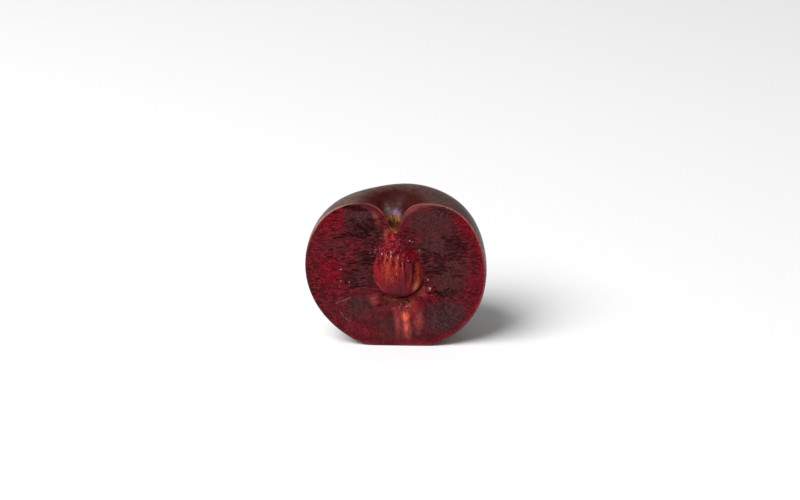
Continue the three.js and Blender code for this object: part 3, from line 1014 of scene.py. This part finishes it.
def plum_half():
    """The flesh and skin, as one mesh from the bottom of the stone's hollow round to the cheek's pole."""
    angle = column_angles()
    rim = skin_points(angle, np.full_like(angle, CUT_LATITUDE))
    opening = Opening(np.arctan2(rim[:, 2] - STONE_Z, rim[:, 0] - STONE_X))
    x, z, from_rim, from_edge = face_rings(rim, opening)
    masks = face_masks(x, z, np.broadcast_to(np.degrees(angle) % 360, x.shape), from_rim)
    inner = hollow_rings(opening) + under_rings(opening)
    skin = skin_rings(angle)
    rings = np.concatenate([inner, face_points(x, z, from_rim, from_edge, masks, opening), skin])

    hollow_bottom = CUT_Y + STONE_BEHIND_CUT + STONE_HALF_SIZE[1] + HOLLOW_CLEARANCE
    pole = skin[-1].mean(0)
    pole[1] = plum_high[1]
    piece = closed_mesh(
        "plum_flesh_and_skin",
        rings,
        [(STONE_X, hollow_bottom, STONE_Z), pole],
        [flesh_material(), skin_material()],
        [0] * (len(inner) + FACE_RINGS - 1) + [1] * (len(skin) + 1),
        plum_attributes(rings, masks, len(inner), len(skin)),
        clockwise=True,
    )
    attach(piece, "root")
    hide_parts("plum_half")


# The skin by its distance from the scar: where each look begins or ends, from nothing to the whole of it.
DOTS_BEGIN = (15, 33)
DUST_AND_SHEEN_BEGINS, DUST_AND_SHEEN_ENDS = (11, 16.5), (36, 24)
BLUSH_BEGINS, BLUSH_REACH = (4, 8), 13
DULL_ENDS = (20, 9)
DAMP_BEGINS, DAMP_ENDS = (3.0, 4.2), (8.5, 6.0)
PIT_ENDS, PIT_TOP = (3.2, 2.4), (1.9, 1.3)  # the top is by the height above the scar
CORK_ENDS, CORK_TOP = (4.0, 3.2), (3.1, 2.3)


def spot(points, middle, half_size):
    """1 at the middle of an oval spot, fading out round it."""
    return bell(points - middle, half_size).prod(-1)


def plum_attributes(rings, masks, inner_count, skin_count):
    """The numbers that the flesh's and the skin's materials read, for each point of the plum's rings."""
    attributes = {"grain": grain_place(rings[..., 0], rings[..., 2])}
    for key, values in masks.items():
        inner = np.repeat(values[:1], inner_count, axis=0)
        outer = np.zeros((skin_count, rings.shape[1]))
        attributes[key] = np.concatenate([inner, values, outer])

    from_scar = np.linalg.norm(rings - SCAR_PLACE, axis=-1)
    to_left = SCAR_PLACE[0] - rings[..., 0]
    height = rings[..., 2]
    top = height - SCAR_PLACE[2] + 0.35 * noise(rings / 1.9, 71)
    # The grey dust tint is partly real dust on the skin and partly painted sheen. It is stronger on the left,
    # towards the light, and adds a painted highlight at SHINE_PLACE.
    dust_and_sheen = smoothstep(*DUST_AND_SHEEN_BEGINS, from_scar) * smoothstep(*DUST_AND_SHEEN_ENDS, from_scar)
    dust_and_sheen = dust_and_sheen * (0.3 + 0.45 * smoothstep(-12, 4, to_left))
    return attributes | {
        "dots": smoothstep(*DOTS_BEGIN, from_scar) * (0.9 + 0.45 * smoothstep(38, 8, height)),
        "dust_and_sheen": dust_and_sheen + 1.6 * spot(rings, SHINE_PLACE, SHINE_HALF_SIZE),
        "blush": bell(from_scar, BLUSH_REACH) * smoothstep(*BLUSH_BEGINS, from_scar),
        "dull": smoothstep(*DULL_ENDS, from_scar),
        "painted_glint": spot(rings, GLINT_PLACE, GLINT_HALF_SIZE),
        "damp": smoothstep(*DAMP_ENDS, from_scar) * smoothstep(*DAMP_BEGINS, from_scar),
        "pit": smoothstep(*PIT_TOP, top) * smoothstep(*PIT_ENDS, from_scar),
        "cork": smoothstep(*CORK_TOP, top) * smoothstep(*CORK_ENDS, from_scar),
    }


# ---- The stone ----

STONE_AROUND = 224
STONE_ALONG = 150
KEEL_GROOVE = 44  # degrees from the keel to the groove beside it
KEEL_GROOVE_WIDTH = 5
KEEL_BAND = (KEEL_GROOVE - 4, KEEL_GROOVE - 14)
STONE_SLIT_DEPTH = 0.3
STONE_PATCH_EDGE = 0.6

# Patches of the stone's front, with the same numbers.
STONE_PATCHES = {
    "orange": (
        (-2.5, 30.2, 0.9, 2, 1, -4), (-2.2, 27.4, 2.2, 2.6, 0.45), (0.4, 30.6, 0.6, 2.8, 0.45),
        (-4.6, 30, 0.4, 1.8, 0.45, -6), (7.2, 29.6, 0.8, 2.4, 0.6, 6), (6.6, 25.4, 0.8, 1.8, 0.7, 6),
        (4.4, 24.9, 0.45, 2.2, 0.7, -10),
    ),
    "pale": (
        (-3.7, 32.8, 0.2, 2, 0.6, -6), (-1.85, 33.2, 0.2, 2.2, 0.7, -4), (0.2, 31.6, 0.2, 3, 0.6, -2),
        (2.1, 30, 0.2, 2.8, 0.6, 2), (-3, 26.6, 0.3, 1.4, 0.5, -4), (-1.2, 25.6, 0.25, 1.2, 0.4),
        (8.6, 28, 0.28, 3.6, 0.9, 4), (7.4, 24.6, 0.3, 1.6, 0.6, 4), (-5.4, 21.8, 0.3, 1.9, 0.6, 42),
    ),
    "tan": ((6.4, 22.4, 0.75, 1.9, 1, -14),),
    # The mauve patch low on the stone is partly its colour and partly painted shade on its lower side.
    "mauve": (
        (0, 21.8, 3.8, 2.8, 0.8), (4.2, 29.2, 1.1, 2.2, 0.8), (2.2, 26.2, 0.8, 3, 0.5),
    ),
    "magenta": (
        (-3.6, 20.6, 1.3, 0.9, 0.9), (-6.2, 27, 1.1, 3.6, 0.35),
    ),
    # The wide dark patch low across the middle is painted shade along the stone's lower edge. The others are
    # dark streaks between the ribs.
    "dark": (
        (-5.6, 30.2, 0.5, 1.8, 0.8), (-3.4, 32, 0.3, 2, 0.6), (1.2, 27.6, 0.3, 3, 0.55),
        (3.2, 26.2, 0.35, 2.8, 0.65, -4), (5.6, 28.2, 0.35, 4.2, 0.9, 4), (0.6, 18.8, 3.8, 1, 0.9),
        (-1.6, 23, 0.4, 1, 0.5),
    ),
    "wet": ((-2.4, 34.2, 4.4, 1.6, 1), (1.6, 33, 2, 1.4, 1)),
}
STONE_SLITS = (
    ((-5.85, 33.6), (-5.95, 29.6), 0.32), ((-4.5, 33.9), (-4.6, 30.4), 0.26),
    ((-2.75, 34.8), (-2.75, 31.8), 0.3), ((-1.0, 34.7), (-1.0, 30.1), 0.34),
    ((1.25, 34.0), (1.45, 30.1), 0.28), ((2.9, 32.2), (3.05, 29.0), 0.26),
    ((3.3, 28.0), (3.45, 24.7), 0.26), ((6.2, 32.0), (5.4, 24.5), 0.3),
)


def stone_slits(x, z):
    """How deep the slits between the stone's ribs are, from 0 to 1."""
    wander = 0.2 * flat_noise(x, z, 1.2, 95)
    depth = np.zeros_like(x)
    for start, end, width in STONE_SLITS:
        gap, share = along_line(x + wander, z, start, end)
        depth = np.maximum(depth, slit(gap, share, width, 0.5))
    return depth


def stone_relief(around, along, grain):
    """How far the stone's surface stands out, in mm: fibrous ribs, and a raised band along each edge."""
    ribs = 0.6 * grain_noise(grain, 1.1, 7, 81) + 0.4 * grain_noise(grain, 0.5, 4, 82)
    pits = noise(grain / 1.3, 83)
    upper = smoothstep(-0.75, -0.1, along)
    from_keel = np.degrees(np.abs(np.arctan2(np.sin(around), np.cos(around))))
    groove = bell(from_keel - KEEL_GROOVE, KEEL_GROOVE_WIDTH)
    band = smoothstep(*KEEL_BAND, from_keel)
    middle = 1 - along * along
    return ribs * (0.06 + 0.18 * upper) + 0.06 * pits + middle * (0.16 * band - 0.34 * groove)


def stone():
    """The stone, as one mesh from its tip up to its stem end."""
    around = np.arange(STONE_AROUND) / STONE_AROUND * 2 * math.pi
    rise = np.linspace(-1, 1, STONE_ALONG + 2)[1:-1] * math.pi / 2
    around, rise = np.meshgrid(around, rise)
    along = np.sin(rise)
    corner = np.abs(np.cos(around)) ** STONE_KEEL + np.abs(np.sin(around)) ** STONE_KEEL
    across = np.cos(rise) * corner ** (-1 / STONE_KEEL) * (1 - STONE_TAPER * along)
    half_x, half_y, half_z = STONE_HALF_SIZE
    side, front = across * np.cos(around) * half_x, across * np.sin(around) * half_y
    local = np.stack([side, front, along * half_z], -1)
    girth = (half_x + half_y) / 2
    grain = np.stack([girth * np.cos(around), girth * np.sin(around), along * half_z], -1)
    relief = stone_relief(around, along, grain)
    local = local * (1 + relief / np.linalg.norm(local, axis=-1))[..., None]

    x, z = turned(local[..., 0], local[..., 2], -STONE_LEAN)
    x, y, z = x + STONE_X, local[..., 1] + CUT_Y + STONE_BEHIND_CUT, z + STONE_Z
    in_front = smoothstep(CUT_Y + 0.5, CUT_Y - 0.5, y)
    slits = stone_slits(x, z) * in_front
    rings = np.stack([x, y + STONE_SLIT_DEPTH * slits, z], -1)

    attributes = {"slit": slits, "grain": grain}
    for key, places in STONE_PATCHES.items():
        attributes[key] = patches(x, z, places, STONE_PATCH_EDGE) * in_front
    ends = [rings[0].mean(0), rings[-1].mean(0)]
    piece = closed_mesh("plum_stone", rings, ends, [stone_material()], [0] * STONE_ALONG, attributes)
    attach(piece, "root")
    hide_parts("stone")


# ---- Stage, light and camera ----

def direction(azimuth, elevation):
    a, e = math.radians(azimuth), math.radians(elevation)
    return Vector((math.sin(a) * math.cos(e), -math.cos(a) * math.cos(e), math.sin(e)))


def aim(thing, target, azimuth, elevation, distance):
    """Puts a camera or light at a distance from a place, facing it."""
    towards = direction(azimuth, elevation)
    thing.location = (Vector(target) + towards * distance) * MM
    thing.rotation_mode = "QUATERNION"
    thing.rotation_quaternion = (-towards).to_track_quat("-Z", "Y")


def add_camera():
    """The camera, as the photograph was taken."""
    camera = add_object("camera", bpy.data.cameras.new("camera"))
    camera.data.lens = CAMERA_LENS
    camera.data.sensor_width = CAMERA_SENSOR
    aim(camera, AIM, CAMERA_AZIMUTH, CAMERA_ELEVATION, CAMERA_DISTANCE)
    bpy.context.scene.camera = camera


FLOOR_HALF_SIZE = 3000


def add_floor():
    """A white floor, for the stage only."""
    half = FLOOR_HALF_SIZE * MM
    corners = [(-half, -half, 0), (half, -half, 0), (half, half, 0), (-half, half, 0)]
    mesh = bpy.data.meshes.new("floor")
    mesh.from_pydata(corners, [], [(0, 1, 2, 3)])
    floor = add_object("floor", mesh)
    m = Material("white_floor")
    m.set(Base_Color=(0.66, 0.66, 0.66), Roughness=0.9)
    mesh.materials.append(m.material)


KEY_AZIMUTH, KEY_ELEVATION = -48, 52
KEY_DISTANCE, KEY_SIZE = 2000, 1250
KEY_ENERGY = 72  # in watts
FILL_IN_FRONT, FILL_BEHIND = 0.22, 0.62


def add_key_light():
    """A square softbox from the upper left."""
    light = add_object("softbox", bpy.data.lights.new("softbox", "AREA"))
    light.data.shape = "SQUARE"
    light.data.size = KEY_SIZE * MM
    light.data.energy = KEY_ENERGY
    aim(light, (0, 0, 0), KEY_AZIMUTH, KEY_ELEVATION, KEY_DISTANCE)


def add_world():
    """A studio that the camera sees as white. It gives less light from in front and more from behind."""
    world = bpy.data.worlds.new("studio")
    world.use_nodes = True
    world.node_tree.nodes.clear()
    bpy.context.scene.world = world
    n = Nodes(world.node_tree)
    towards_back = n.node("SeparateXYZ", {0: n.node("TexCoord", {}).outputs["Generated"]}).outputs["Y"]
    limits = {"From Min": -1, "From Max": 1, "To Min": FILL_IN_FRONT, "To Max": FILL_BEHIND}
    fill = n.node("MapRange", {"Value": towards_back, **limits}).outputs[0]
    lit = n.node("Background", {"Strength": fill}).outputs[0]
    seen = n.node("Background", {"Color": (1, 1, 1), "Strength": 1.0}).outputs[0]
    by_camera = n.node("LightPath", {}).outputs["Is Camera Ray"]
    n.node("OutputWorld", {"Surface": n.node("MixShader", {0: by_camera, 1: lit, 2: seen}).outputs[0]})


bpy.context.scene.view_settings.view_transform = "Standard"
add_camera()
add_floor()
add_key_light()
add_world()
plum_half()
stone()
